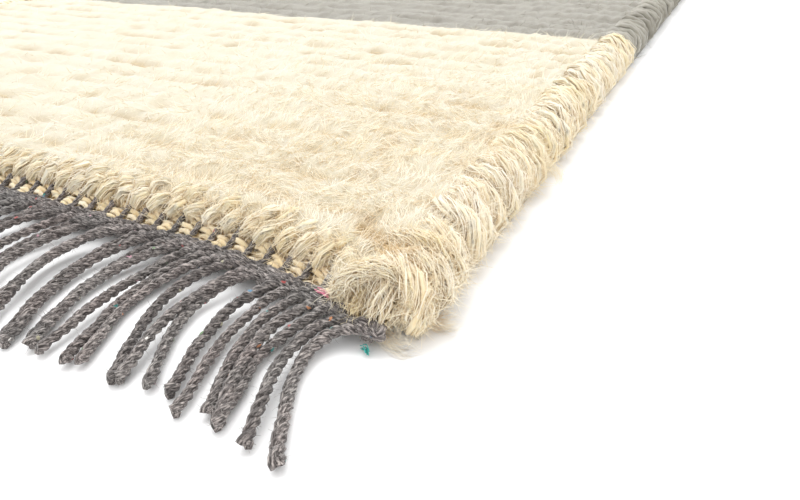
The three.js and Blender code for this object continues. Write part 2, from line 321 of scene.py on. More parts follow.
edge_columns = np.array([-1, -0.997, -0.99, -0.98, -0.965])
shares = np.concatenate([edge_columns, eased(FIELD_COLUMNS)[4:]])
stations = -WOOL_LENGTH / 2 * eased(FIELD_STATIONS)[::-1]
field_x, field_along = np.meshgrid(shares * (RUG_WIDTH / 2 - FIELD_INSET), stations)
field_height, field_painted_shade = pile_surface(field_x, field_along)
from_side = RUG_WIDTH / 2 - FIELD_INSET - np.abs(field_x)
from_end = WOOL_LENGTH / 2 - np.abs(field_along)
end_round = np.sqrt(1 - (1 - np.clip(from_end / END_ROUNDING, 0, 1)) ** 2)
side_round = np.sqrt(1 - (1 - np.clip(from_side / SIDE_ROUNDING, 0, 1)) ** 2)
field_z = (END_THICKNESS + (field_height - END_THICKNESS) * end_round) * side_round + UNDERSIDE
field_points = np.stack([field_x, pulled(field_x, field_along), field_z], axis=-1)
under_x = np.linspace(1, -1, UNDERSIDE_COLUMNS + 2)[1:-1] * (RUG_WIDTH / 2 - FIELD_INSET)
under_x, under_along = np.meshgrid(under_x, stations)
under_z = np.full_like(under_x, UNDERSIDE)
under_points = np.stack([under_x, pulled(under_x, under_along), under_z], axis=-1)
rings = np.concatenate([field_points, under_points], axis=1)
ring_count, ring_size = rings.shape[:2]
field_faces = [
    (ring * ring_size + i, ring * ring_size + (i + 1) % ring_size,
     (ring + 1) * ring_size + (i + 1) % ring_size, (ring + 1) * ring_size + i)
    for ring in range(ring_count - 1) for i in range(ring_size)]
field_faces.append(tuple(range(ring_size))[::-1])
field_faces.append(tuple(range((ring_count - 1) * ring_size, ring_count * ring_size)))
field = object_from("wool_field", rings.reshape(-1, 3), field_faces, pile_wool)
field.data.shade_smooth()


def give(mesh, name, values, kind="FLOAT"):
    """Stores one value for each point of a mesh under a name."""
    store = mesh.attributes.new(name, kind, "POINT")
    field_name = "vector" if kind == "FLOAT_VECTOR" else "value"
    store.data.foreach_set(field_name, np.ravel(values).astype(np.float32))


# The underside takes an even painted tan shade
UNDERSIDE_PAINTED_SHADE = 0.3
under_painted_shade = np.full_like(under_x, UNDERSIDE_PAINTED_SHADE)
top_grey = greyness(field_x, field_along)
under_grey = greyness(under_x, under_along)
give(field.data, "tan_and_painted_shade", np.concatenate([field_painted_shade, under_painted_shade], axis=1))
give(field.data, "grey", np.concatenate([top_grey, under_grey], axis=1))
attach(field, "root")
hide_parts("rug")

# The turned selvedges: at both sides the wool of each row is brought round the outermost warps
# and back, so a thick slanting wrap of loosely spun yarn lies over the edge every half row.
# The wraps near the photographed corner are drawn fibre strand by strand.
WRAP_PITCH = 10.0
MISSING_WRAP = 1
WRAP_PATH = np.array([
    # inward, along, up
    (21.0, 4.0, 13.5),
    (14.0, 2.5, 17.0),
    (6.5, 0.5, 16.6),
    (1.5, -1.5, 12.5),
    (0.5, -3.0, 7.0),
    (4.5, -3.5, 3.8),
])
WRAP_STEPS = 9
WRAP_GIRTHS = np.array([0.7] + [1.0] * (WRAP_STEPS - 3) + [0.8, 0.35])
WRAP_LOWEST = 4.0
# Within these distances of the corner the yarn is drawn strand by strand
CLOSE_BY = 240.0
SELVEDGE_CLOSE_BY = 305.0
YARN_STREAK = 0.45
YARN_STREAK_LENGTH = 9.0
# The yarn and loose fibres are the same wool as the pile, set paler than it: painted light that lifts the
# shade among their strands
YARN_SHADES = {
    "cream": "#F9F0DA", "warm": "#F0E0B6", "grey": "#ADA99E", "dark": "#868276", "tan": "#CCA768"}
FIBRE_SHADES = {
    "cream": "#FFFBEE", "warm": "#FBEFCC", "grey": "#BAB6AB", "dark": "#938F84", "tan": "#DDBB7E"}
SPUN_YARN = {
    "Plies": 6, "Spread": 2.4 * MM, "Ply radius": 2.1 * MM, "Turn length": 70 * MM, "Sides": 4,
    "Scatter": 0.3, "Crimp": 0.3 * MM, "Ragged": 0.0}
OPEN_YARN = {
    "Plies": 24, "Spread": 3.2 * MM, "Ply radius": 1.0 * MM, "Turn length": 60 * MM, "Sides": 4,
    "Scatter": 0.7, "Crimp": 1.0 * MM, "Ragged": 0.2}
LOOSE_STRANDS = {
    "Plies": 30, "Spread": 4.2 * MM, "Ply radius": 0.2 * MM, "Turn length": 60 * MM, "Sides": 3,
    "Scatter": 0.4, "Crimp": 1.6 * MM, "Ragged": 0.4}
CURL = 7.0
CURL_SWING = 4.0
LOWEST_STRAND = 0.2


def smooth_path(points, count):
    """A rounded path through a few points, as evenly counted points."""
    points = np.asarray(points, float)
    padded = np.vstack([2 * points[0] - points[1], points, 2 * points[-1] - points[-2]])
    place = np.linspace(0, len(points) - 1.000001, count)
    k = place.astype(int)
    t = (place - k)[:, None]
    before, start, end, after = padded[k], padded[k + 1], padded[k + 2], padded[k + 3]
    return 0.5 * (2 * start + (end - before) * t + (2 * before - 5 * start + 4 * end - after) * t ** 2
                  + (3 * start - before - 3 * end + after) * t ** 3)


def path_mesh(name, paths):
    """Loose lines from paths: each holds its points in millimetres and its other values by name."""
    mesh = bpy.data.meshes.new(name)
    points = np.vstack([path["points"] for path in paths])
    starts = np.cumsum([0] + [len(path["points"]) for path in paths])
    edges = [(i, i + 1) for a, b in zip(starts[:-1], starts[1:]) for i in range(a, b - 1)]
    mesh.from_pydata((points * MM).tolist(), edges, [])
    for value in ("girth", "spread", "tone", "grey", "tan_and_painted_shade"):
        usual = 1.0 if value in ("girth", "spread") else 0.0
        give(mesh, value, np.concatenate(
            [np.broadcast_to(path.get(value, usual), len(path["points"])) for path in paths]))
    return mesh


def twisted_yarn_tree():
    """Turns lines into yarn: plies or loose strands laid round each line and twisted about it."""
    tree = bpy.data.node_groups.new("twisted_yarn", "GeometryNodeTree")
    for name, kind in (("Lines", "Geometry"), ("Plies", "Int"), ("Spread", "Float"), ("Ply radius", "Float"),
                       ("Turn length", "Float"), ("Sides", "Int"), ("Scatter", "Float"), ("Crimp", "Float"),
                       ("Ragged", "Float"), ("Yarn", "Material")):
        tree.interface.new_socket(name, in_out="INPUT", socket_type="NodeSocket" + kind)
    tree.interface.new_socket("Yarn", in_out="OUTPUT", socket_type="NodeSocketGeometry")
    given = add(tree, "NodeGroupInput").outputs
    lines = add(tree, "GeometryNodeMeshToCurve", {"Mesh": given["Lines"]})
    plies = add(tree, "GeometryNodeDuplicateElements", {
        "Geometry": lines.outputs[0], "Amount": given["Plies"]}, domain="SPLINE")
    index = add(tree, "GeometryNodeInputIndex")
    own = add(tree, "GeometryNodeFieldOnDomain", {
        "Value": index.outputs[0]}, data_type="INT", domain="CURVE")
    chance = {}
    for seed, (name, low, high) in enumerate((
            ("angle", 0.0, 1.0), ("depth", 0.0, 1.0), ("tone", -0.2, 0.2), ("curl", 0.0, 500.0),
            ("cut", 0.0, -1.0)), start=1):
        chance[name] = add(tree, "FunctionNodeRandomValue", {
            2: low, 3: high, "ID": own.outputs[0], "Seed": seed}, data_type="FLOAT").outputs[1]
    line = {}
    for name in ("girth", "spread", "tone"):
        line[name] = add(
            tree, "GeometryNodeInputNamedAttribute", {"Name": name}, data_type="FLOAT").outputs[0]

    # Each ply turns about its line, further from the middle by chance, and curls on its way
    walked = add(tree, "GeometryNodeSplineParameter").outputs["Length"]
    evenly = add(tree, "ShaderNodeMath", {
        0: plies.outputs["Duplicate Index"], 1: given["Plies"]}, operation="DIVIDE")
    turned = add(tree, "ShaderNodeMath", {0: walked, 1: given["Turn length"]}, operation="DIVIDE")
    turns = add(tree, "ShaderNodeMath", {0: turned.outputs[0], 1: evenly.outputs[0]}, operation="ADD")
    strayed = add(tree, "ShaderNodeMath", {
        0: chance["angle"], 1: given["Scatter"], 2: turns.outputs[0]}, operation="MULTIPLY_ADD")
    angle = add(tree, "ShaderNodeMath", {0: strayed.outputs[0], 1: 2 * math.pi}, operation="MULTIPLY")
    cosine = add(tree, "ShaderNodeMath", {0: angle.outputs[0]}, operation="COSINE")
    sine = add(tree, "ShaderNodeMath", {0: angle.outputs[0]}, operation="SINE")
    normal = add(tree, "GeometryNodeInputNormal").outputs["Normal"]
    tangent = add(tree, "GeometryNodeInputTangent").outputs[0]
    sideways = add(tree, "ShaderNodeVectorMath", {0: tangent, 1: normal}, operation="CROSS_PRODUCT")
    raised = add(tree, "ShaderNodeVectorMath", {0: normal, "Scale": cosine.outputs[0]}, operation="SCALE")
    swung = add(tree, "ShaderNodeVectorMath", {
        0: sideways.outputs[0], "Scale": sine.outputs[0]}, operation="SCALE")
    outward = add(tree, "ShaderNodeVectorMath", {
        0: raised.outputs[0], 1: swung.outputs[0]}, operation="ADD")
    depth = add(tree, "ShaderNodeMath", {0: chance["depth"]}, operation="SQRT")
    short_of_rim = add(tree, "ShaderNodeMath", {0: depth.outputs[0], 1: 1.0}, operation="SUBTRACT")
    from_middle = add(tree, "ShaderNodeMath", {
        0: short_of_rim.outputs[0], 1: given["Scatter"], 2: 1.0}, operation="MULTIPLY_ADD")
    opening = add(tree, "ShaderNodeMath", {0: line["girth"], 1: line["spread"]}, operation="MULTIPLY")
    opened = add(tree, "ShaderNodeMath", {0: opening.outputs[0], 1: given["Spread"]}, operation="MULTIPLY")
    away = add(tree, "ShaderNodeMath", {
        0: opened.outputs[0], 1: from_middle.outputs[0]}, operation="MULTIPLY")
    laid = add(tree, "ShaderNodeVectorMath", {
        0: outward.outputs[0], "Scale": away.outputs[0]}, operation="SCALE")
    position = add(tree, "GeometryNodeInputPosition").outputs[0]
    curl = add(tree, "ShaderNodeTexNoise", {
        "Vector": position, "W": chance["curl"], "Scale": 1 / (CURL * MM), "Detail": 1.0},
        noise_dimensions="4D")
    either_way = add(tree, "ShaderNodeVectorMath", {
        0: curl.outputs["Color"], 1: (0.5, 0.5, 0.5)}, operation="SUBTRACT")
    swing = add(tree, "ShaderNodeMath", {0: given["Crimp"], 1: CURL_SWING}, operation="MULTIPLY")
    crimp = add(tree, "ShaderNodeVectorMath", {
        0: either_way.outputs[0], "Scale": swing.outputs[0]}, operation="SCALE")
    offset = add(tree, "ShaderNodeVectorMath", {0: laid.outputs[0], 1: crimp.outputs[0]}, operation="ADD")
    keep_length = add(tree, "GeometryNodeCaptureAttribute", {"Geometry": plies.outputs["Geometry"]})
    keep_length.capture_items.new("FLOAT", "Walked")
    tree.links.new(walked, keep_length.inputs["Walked"])
    twisted = add(tree, "GeometryNodeSetPosition", {
        "Geometry": keep_length.outputs["Geometry"], "Offset": offset.outputs[0]})
    tone = add(tree, "ShaderNodeMath", {0: line["tone"], 1: chance["tone"]}, operation="ADD")
    toned = add(tree, "GeometryNodeStoreNamedAttribute", {
        "Geometry": twisted.outputs[0], "Name": "tone", "Value": tone.outputs[0]},
        data_type="FLOAT", domain="POINT")
    shortened = add(tree, "ShaderNodeMath", {
        0: chance["cut"], 1: given["Ragged"], 2: 1.0}, operation="MULTIPLY_ADD")
    cut = add(tree, "GeometryNodeTrimCurve", {
        "Curve": toned.outputs[0], "End": shortened.outputs[0]}, mode="FACTOR")

    # A ring is drawn along each ply; its place on the ring and along the ply steers the streaks
    ring = add(tree, "GeometryNodeCurvePrimitiveCircle", {
        "Resolution": given["Sides"], "Radius": given["Ply radius"]})
    keep_ring = add(tree, "GeometryNodeCaptureAttribute", {"Geometry": ring.outputs["Curve"]})
    keep_ring.capture_items.new("VECTOR", "Ring")
    tree.links.new(position, keep_ring.inputs["Ring"])
    skin = add(tree, "GeometryNodeCurveToMesh", {
        "Curve": cut.outputs[0], "Profile Curve": keep_ring.outputs["Geometry"], "Scale": line["girth"],
        "Fill Caps": True})
    lengthwise = add(tree, "ShaderNodeCombineXYZ", {"Z": keep_length.outputs["Walked"]})
    lay = add(tree, "ShaderNodeVectorMath", {
        0: keep_ring.outputs["Ring"], 1: lengthwise.outputs[0]}, operation="ADD")
    marked = add(tree, "GeometryNodeStoreNamedAttribute", {
        "Geometry": skin.outputs[0], "Name": "fibre", "Value": lay.outputs[0]},
        data_type="FLOAT_VECTOR", domain="POINT")
    spot = add(tree, "ShaderNodeSeparateXYZ", {0: position})
    above_floor = add(tree, "ShaderNodeMath", {
        0: spot.outputs["Z"], 1: LOWEST_STRAND * MM}, operation="MAXIMUM")
    held_up = add(tree, "ShaderNodeCombineXYZ", {
        "X": spot.outputs["X"], "Y": spot.outputs["Y"], "Z": above_floor.outputs[0]})
    resting = add(tree, "GeometryNodeSetPosition", {
        "Geometry": marked.outputs[0], "Position": held_up.outputs[0]})
    smooth = add(tree, "GeometryNodeSetShadeSmooth", {"Geometry": resting.outputs[0]})
    whole = add(tree, "GeometryNodeRealizeInstances", {"Geometry": smooth.outputs[0]})
    coloured = add(tree, "GeometryNodeSetMaterial", {
        "Geometry": whole.outputs[0], "Material": given["Yarn"]})
    add(tree, "NodeGroupOutput", {0: coloured.outputs[0]})
    return tree


def grown(name, mesh, tree, sizes):
    """The plain mesh object that a tree makes from a mesh, with the tree's inputs set by name."""
    piece = bpy.data.objects.new(name, mesh)
    bpy.context.collection.objects.link(piece)
    modifier = piece.modifiers.new(tree.name, "NODES")
    modifier.node_group = tree
    for socket in tree.interface.items_tree:
        if socket.in_out == "INPUT" and socket.name in sizes:
            modifier[socket.identifier] = sizes[socket.name]
    graph = bpy.context.evaluated_depsgraph_get()
    plain = bpy.data.meshes.new_from_object(
        piece.evaluated_get(graph), preserve_all_data_layers=True, depsgraph=graph)
    piece.modifiers.clear()
    piece.data = plain
    return piece


def fibre_streaks(tree, width, length):
    """Noise drawn out along a yarn, as its fibres lie, and different in each yarn."""
    lay = add(tree, "ShaderNodeAttribute", attribute_name="fibre").outputs["Vector"]
    tone = add(tree, "ShaderNodeAttribute", attribute_name="tone").outputs["Fac"]
    stretch = add(tree, "ShaderNodeMapping", {
        "Vector": lay, "Scale": (1 / (width * MM), 1 / (width * MM), 1 / (length * MM))})
    apart = add(tree, "ShaderNodeMath", {0: tone, 1: 40.0}, operation="MULTIPLY")
    return add(tree, "ShaderNodeTexNoise", {
        "Vector": stretch.outputs[0], "W": apart.outputs[0], "Scale": 1.0, "Detail": 3.0, "Roughness": 0.6},
        noise_dimensions="4D")


# Hand-spun wool: fine streaks along each ply, cream in the open, with a painted tan shade in its depth; the
# strip's wefts take their own tan through the same share
yarn_wool, yarn_tree, yarn_shader = blank_material("hand_spun_wool_yarn")
_, yarn_colour = wool_colour(yarn_tree, YARN_SHADES)
yarn_tree.links.new(yarn_colour, yarn_shader.inputs["Base Color"])
soft_finish(yarn_shader, 0.4)
let_light_in(yarn_shader, 0.6)
wool_streaks = fibre_streaks(yarn_tree, YARN_STREAK, YARN_STREAK_LENGTH)
yarn_bump = add(yarn_tree, "ShaderNodeBump", {
    "Strength": 0.8, "Distance": 0.6 * MM, "Height": wool_streaks.outputs["Fac"]})
yarn_tree.links.new(yarn_bump.outputs[0], yarn_shader.inputs["Normal"])

# Single wool fibres: paler than the yarn, so that they catch the light as fuzz
fibre_wool, fibre_wool_tree, fibre_wool_shader = blank_material("loose_wool_fibre")
_, fibre_colour = wool_colour(fibre_wool_tree, FIBRE_SHADES)
fibre_wool_tree.links.new(fibre_colour, fibre_wool_shader.inputs["Base Color"])
soft_finish(fibre_wool_shader, 0.5)

twisted_yarn = twisted_yarn_tree()
draw = np.random.default_rng(20)
wraps = {"near": [], "far": []}
for side in (-1, 1):
    for number in range(int(WOOL_LENGTH / WRAP_PITCH)):
        if side == 1 and number == MISSING_WRAP:
            continue
        along = -WOOL_LENGTH / 2 + (number + 0.5) * WRAP_PITCH + draw.normal(0, 0.9)
        line = smooth_path(WRAP_PATH + draw.normal(0, 0.8, WRAP_PATH.shape), WRAP_STEPS)
        x = side * (RUG_WIDTH / 2 - FIELD_INSET - line[:, 0])
        y = pulled(x, np.clip(along + line[:, 1], -WOOL_LENGTH / 2, WOOL_LENGTH / 2))
        to_corner = math.hypot(x[0] - CORNER[0], along - CORNER[1])
        wraps["near" if to_corner < SELVEDGE_CLOSE_BY else "far"].append({
            "points": np.stack([x, y, np.maximum(line[:, 2], WRAP_LOWEST)], axis=1),
            "girth": draw.uniform(0.85, 1.1) * WRAP_GIRTHS,
            "tone": draw.uniform(0, 0.5), "grey": greyness(x, y),
            # A painted tan shade, growing towards the wrap's low end at the floor
            "tan_and_painted_shade": 0.3 * np.linspace(0, 1, WRAP_STEPS) ** 2})
selvedges = [
    grown("selvedge_wraps", path_mesh("selvedge_wraps", wraps["near"]), twisted_yarn,
          {**OPEN_YARN, "Yarn": yarn_wool}),
    grown("selvedge_wraps_far", path_mesh("selvedge_wraps_far", wraps["far"]), twisted_yarn,
          {**SPUN_YARN, "Plies": 4, "Yarn": yarn_wool}),
    grown("selvedge_strands", path_mesh("selvedge_strands", wraps["near"]), twisted_yarn,
          {**LOOSE_STRANDS, "Yarn": fibre_wool}),
]
for piece in selvedges:
    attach(piece, "root")

# The end knots: along both ends the last rows are not beaten in, so single loops of yarn show,
# one between each two warps, each coming up out of the flat weave and lying back over the pile.
KNOTS = 64
KNOT_PATHS = {
    "edge": np.array([
        # across, outward, up
        (-1.6, -3.0, 8.0),
        (-1.6, 0.8, 9.4),
        (-0.8, 0.8, 12.0),
        (0.4, -1.8, 14.0),
        (1.4, -4.6, 13.8),
        (1.8, -6.2, 11.8),
    ]),
    "second": np.array([
        (3.1, -6.0, 10.5),
        (3.3, -4.8, 13.0),
        (4.5, -6.4, 15.4),
        (5.6, -9.2, 15.6),
        (6.2, -11.2, 13.4),
    ]),
}
KNOT_STEPS = 7
KNOT_GIRTHS = np.array([0.7, 0.9] + [1.0] * (KNOT_STEPS - 4) + [0.9, 0.6])
KNOT_SINKS = 3.0
KNOT_TURN = 45 * MM
KNOT_YARN = {
    "Plies": 14, "Spread": 2.5 * MM, "Ply radius": 1.25 * MM, "Turn length": KNOT_TURN, "Scatter": 0.5,
    "Crimp": 0.7 * MM}


def beside(across, outward, height, end):
    """Points beside an end: across it, outwards from the wool's edge, and up."""
    across, outward = np.broadcast_arrays(np.asarray(across, float), np.asarray(outward, float))
    fade = np.clip(1 + np.minimum(outward, 0) / PULL_LENGTH, 0, 1) ** 2
    y = end["facing"] * (WOOL_LENGTH / 2 + outward + pull(across, end) * fade)
    return np.stack([-end["facing"] * across, y, np.broadcast_to(height, across.shape)], axis=-1)


knots = {"near": [], "far": []}
for end in (FRONT, BACK):
    for place, form in KNOT_PATHS.items():
        for number in range(KNOTS):
            across = (number - (KNOTS - 1) / 2) * WARP_PITCH
            line = smooth_path(form + draw.normal(0, 0.6, form.shape), KNOT_STEPS)
            near_by = end is FRONT and RUG_WIDTH / 2 - across < CLOSE_BY
            points = beside(across + line[:, 0], line[:, 1], line[:, 2], end)
            sunk = crevice(points[:, 0], points[:, 1])
            points[:, 2] -= KNOT_SINKS * sunk
            # A painted tan shade where the loop comes up out of the weave, and in the crease
            root_painted_shade = 0.3 if place == "edge" else 0.15
            knots["near" if near_by else "far"].append({
                "points": points,
                "girth": draw.uniform(0.8, 1.0) * KNOT_GIRTHS,
                "spread": 0.85, "tone": draw.uniform(0.1, 0.4),
                "tan_and_painted_shade": np.maximum(np.linspace(root_painted_shade, 0.0, KNOT_STEPS), sunk)})
end_knots = [
    grown("end_knots", path_mesh("end_knots", knots["near"]), twisted_yarn,
          {**OPEN_YARN, **KNOT_YARN, "Yarn": yarn_wool}),
    grown("end_knots_far", path_mesh("end_knots_far", knots["far"]), twisted_yarn,
          {**SPUN_YARN, "Plies": 3, "Turn length": KNOT_TURN, "Yarn": yarn_wool}),
    grown("knot_strands", path_mesh("knot_strands", knots["near"]), twisted_yarn,
          {**LOOSE_STRANDS, "Plies": 24, "Turn length": KNOT_TURN, "Yarn": fibre_wool}),
]
for piece in end_knots:
    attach(piece, "root")

# The corner locks: at the front right corner the selvedge wool is rolled over the last warps in
# a few thick loose curls that stand higher than the pile, and its ends fan out to the floor.
LOCKS = [
    # inward from the selvedge, outward from the wool's end, up
    {"girth": 0.5, "fans": 0.0, "tone": 0.3,
     "path": [(31, 17, 4), (30, 20, 11), (26.5, 19.5, 17), (21, 17, 19.5), (15, 15.5, 19), (11, 16, 14)]},
    {"girth": 0.65, "fans": 0.5, "tone": 0.6,
     "path": [(24, 12, 14), (24, 17, 11.5), (23.5, 21, 7.5), (22.5, 24, 3.5)]},
    {"girth": 0.7, "fans": 0.6, "tone": 0.3,
     "path": [(17, 11, 15.5), (16, 17, 13), (15, 21.5, 8), (14, 24.5, 3.5)]},
    {"girth": 0.7, "fans": 0.5, "tone": 0.2,
     "path": [(12, 7, 16.5), (8, 13, 14.5), (5.5, 17.5, 9), (4.5, 20, 3.5)]},
    {"girth": 0.75, "fans": 0.1, "tone": 0.2,
     "path": [(24, 1, 15.5), (14, 3, 17.5), (6, 5, 15.5), (2, 6.5, 9.5), (3.5, 8, 4)]},
    {"girth": 0.7, "fans": 0.0, "tone": 0.3,
     "path": [(27, -7, 15), (16, -5.5, 17.5), (7, -4.5, 15.5), (2.5, -3.5, 9.5), (4, -2, 4)]},
    {"girth": 0.16, "fans": 5.0, "tone": 0.1,
     "path": [(8, 11, 6), (3, 12, 4.5), (-2, 11, 3.5), (-6, 9, 2.5)]},
    {"girth": 0.12, "fans": 6.0, "tone": 0.1,
     "path": [(18, 20, 5), (13, 25, 2.5), (6, 26, 1.6), (0, 24, 1.2)]},
    {"girth": 0.1, "fans": 3.0, "tone": 0.3,
     "path": [(6, -93, 15), (1, -95, 13), (-5, -95, 9), (-9, -88, 4)]},
]
LOCK_STEPS = 16
LOCK_SINKS = 2.0
THINNEST_LOCK = 0.3
LOCK_YARN = {
    **OPEN_YARN, "Plies": 46, "Ply radius": 0.75 * MM, "Spread": 5.0 * MM, "Crimp": 1.4 * MM,
    "Ragged": 0.25}
LOCK_STRANDS = {**LOOSE_STRANDS, "Plies": 100, "Spread": 6.0 * MM, "Crimp": 2.2 * MM, "Scatter": 0.5}
locks = []
for lock in LOCKS:
    line = smooth_path(lock["path"], LOCK_STEPS)
    points = np.stack([CORNER[0] - line[:, 0], CORNER[1] - line[:, 1], line[:, 2]], axis=1)
    share = np.linspace(0, 1, LOCK_STEPS)
    sunk = crevice(points[:, 0], points[:, 1])
    points[:, 2] -= LOCK_SINKS * sunk
    locks.append({
        "points": points,
        "girth": lock["girth"] * np.clip(0.75 + share, 0, 1) * np.clip(4 * (1 - share), 0.3, 1),
        "spread": 1 + lock["fans"] * share ** 2 - 0.3 * (1 - lock["fans"]) * share ** 3,
        "tone": lock["tone"],
        # A painted tan shade towards each lock's end, more for a warmer lock, and in the crease
        "tan_and_painted_shade": np.maximum(0.5 * lock["tone"] * share ** 2, 0.8 * sunk)})
thick_locks = [made for lock, made in zip(LOCKS, locks) if lock["girth"] > THINNEST_LOCK]
corner_locks = [
    grown("corner_locks", path_mesh("corner_locks", thick_locks), twisted_yarn,
          {**LOCK_YARN, "Yarn": yarn_wool}),
    grown("lock_strands", path_mesh("lock_strands", locks), twisted_yarn,
          {**LOCK_STRANDS, "Yarn": fibre_wool}),
]
for piece in corner_locks:
    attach(piece, "root")

# The flat-woven strip: beyond the wool tan wefts go under each grey warp and swell up between,
# so that a row of tan bumps shows with the dark warps as ticks between them.
STRIP_ROWS = [
    # outward, up, and girth
    (-0.6, 8.6, 1.0),
    (3.0, 7.2, 1.15),
    (6.6, 5.6, 1.1),
]
STRIP_WAVE = 1.0
WEFT_STEP = 2.25
STRIP_HALF = RUG_WIDTH / 2 - 15.0
TAN_YARN = {**SPUN_YARN, "Plies": 3, "Spread": 1.4 * MM, "Ply radius": 1.0 * MM, "Turn length": 30 * MM}
wefts = []
for end in (FRONT, BACK):
    across = np.arange(-STRIP_HALF, STRIP_HALF, WEFT_STEP)
    for row, (outward, up_by, girth) in enumerate(STRIP_ROWS):
        swell = -np.cos(2 * np.pi * across / WARP_PITCH)
        points = beside(across, outward + 0.3 * rolling(across / 12, 0 * across + row, 31),
                        up_by + STRIP_WAVE * swell, end)
        # The wefts' own tan comes in through the same share as the painted tan shade
        wefts.append({"points": points, "tan_and_painted_shade": 0.3 + 0.2 * rolling(across / 7, 0 * across + row, 32),
                      "tone": 0.3, "girth": girth * (1.0 + 0.12 * swell)})
strip_wefts = grown("strip_wefts", path_mesh("strip_wefts", wefts), twisted_yarn,
                    {**TAN_YARN, "Yarn": yarn_wool})
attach(strip_wefts, "root")

# The plait and the fringe: each warp is a two-ply cord of recycled grey cotton, flecked with
# scraps of dyed thread. Past the strip it is laid over its neighbours into a plait, comes out
# lower down, bows to one side and lies on the floor, where its cut end has begun to untwist.
CORD_PLY_RADIUS = 1.25
CORD_SPREAD = 0.68
CORD_TURN = 7.0
CORD_RADIUS = CORD_PLY_RADIUS + CORD_SPREAD
CORDS = 76
CORD_REACH = 61.0
CORD_CROWDING = {"fringe_front": 0.17, "fringe_back": 0.0}
CORD_ROOT = 12.35
CORD_BOW = 10.5
CORD_DRIFT = -1.0
CORD_SHARES = np.array([0.04, 0.12, 0.22, 0.35, 0.5, 0.65, 0.8, 0.92, 1.0])
CORD_LOWEST = CORD_RADIUS + 0.7
FAR_CORD_STEP = 1.5
UNTWISTED_FROM = 0.94
TICK_LENGTH = 22.0
TICK_PATH = np.array([
    # across, outward, up
    (0.0, -6.0, 9.0),
    (0.0, -1.5, 10.6),
    (0.0, 3.0, 9.4),
    (-0.5, 7.0, 7.2),
    (-4.0, 10.5, 5.0),
])
PLAIT_TOP = 6.4
TWINE_OFFSET = 2.0
TWINE_TURN = 24.0
TWINE_HALF = 286.0
TWINE_STEP = 1.8
DARK_COTTON = "#403D3B"
MID_COTTON = "#767270"
PALE_COTTON = "#BAB5B0"
ROSY_TINT = "#FFF0EE"
COOL_TINT = "#E8EEEE"
FLECKS = ["#A8504E", "#C58A66", "#C49AA6", "#5F88A4", "#4F918D", "#7A9470", "#B9B49A", "#E9E6E0"]
FLECK_SIZE = 1.05
FLECK_SHARE = 0.006

# Recycled cotton: a mixed grey streaked along each ply, with a few coloured flecks in it
cotton, cotton_tree, cotton_shader = blank_material("recycled_cotton_cord")
soft_finish(cotton_shader, 0.2)
cotton_streaks = fibre_streaks(cotton_tree, 0.45, 1.1)
melange = add(cotton_tree, "ShaderNodeValToRGB", {"Fac": cotton_streaks.outputs["Fac"]})
melange.color_ramp.elements[0].position = 0.40
melange.color_ramp.elements[0].color = linear(DARK_COTTON)
melange.color_ramp.elements[1].position = 0.65
melange.color_ramp.elements[1].color = linear(PALE_COTTON)
melange.color_ramp.elements.new(0.52).color = linear(MID_COTTON)
cotton_where = add(cotton_tree, "ShaderNodeTexCoord").outputs["Object"]
scraps = add(cotton_tree, "ShaderNodeTexVoronoi", {
    "Vector": cotton_where, "Scale": 1 / (FLECK_SIZE * MM), "Randomness": 1.0})
draws = add(cotton_tree, "ShaderNodeSeparateColor", {"Color": scraps.outputs["Color"]})
is_fleck = add(cotton_tree, "ShaderNodeMath", {0: draws.outputs[0], 1: FLECK_SHARE}, operation="LESS_THAN")
dyed = add(cotton_tree, "ShaderNodeValToRGB", {"Fac": draws.outputs[1]})
dyed.color_ramp.interpolation = "CONSTANT"
while len(dyed.color_ramp.elements) < len(FLECKS):
    dyed.color_ramp.elements.new(0.5)
for number, colour in enumerate(FLECKS):
    dyed.color_ramp.elements[number].position = number / len(FLECKS)
    dyed.color_ramp.elements[number].color = linear(colour)
cord_tone = add(cotton_tree, "ShaderNodeAttribute", attribute_name="tone").outputs["Fac"]
cord_light = add(cotton_tree, "ShaderNodeMapRange", {"Value": cord_tone, "To Min": 0.85, "To Max": 1.25})
lit_melange = add(cotton_tree, "ShaderNodeVectorMath", {
    0: melange.outputs[0], "Scale": cord_light.outputs[0]}, operation="SCALE")
batch = add(cotton_tree, "ShaderNodeTexNoise", {
    "Vector": cotton_where, "Scale": 1 / (16 * MM), "Detail": 2.0})
batch_tint = add(cotton_tree, "ShaderNodeMix", {
    0: batch.outputs["Fac"], 6: linear(ROSY_TINT), 7: linear(COOL_TINT)}, data_type="RGBA")
tinted = add(cotton_tree, "ShaderNodeVectorMath", {
    0: lit_melange.outputs[0], 1: batch_tint.outputs[2]}, operation="MULTIPLY")
flecked = add(cotton_tree, "ShaderNodeMix", {
    0: is_fleck.outputs[0], 6: tinted.outputs[0], 7: dyed.outputs[0]}, data_type="RGBA")
cotton_tree.links.new(flecked.outputs[2], cotton_shader.inputs["Base Color"])
cotton_bump = add(cotton_tree, "ShaderNodeBump", {
    "Strength": 0.8, "Distance": 0.35 * MM, "Height": cotton_streaks.outputs["Fac"]})
cotton_tree.links.new(cotton_bump.outputs[0], cotton_shader.inputs["Normal"])

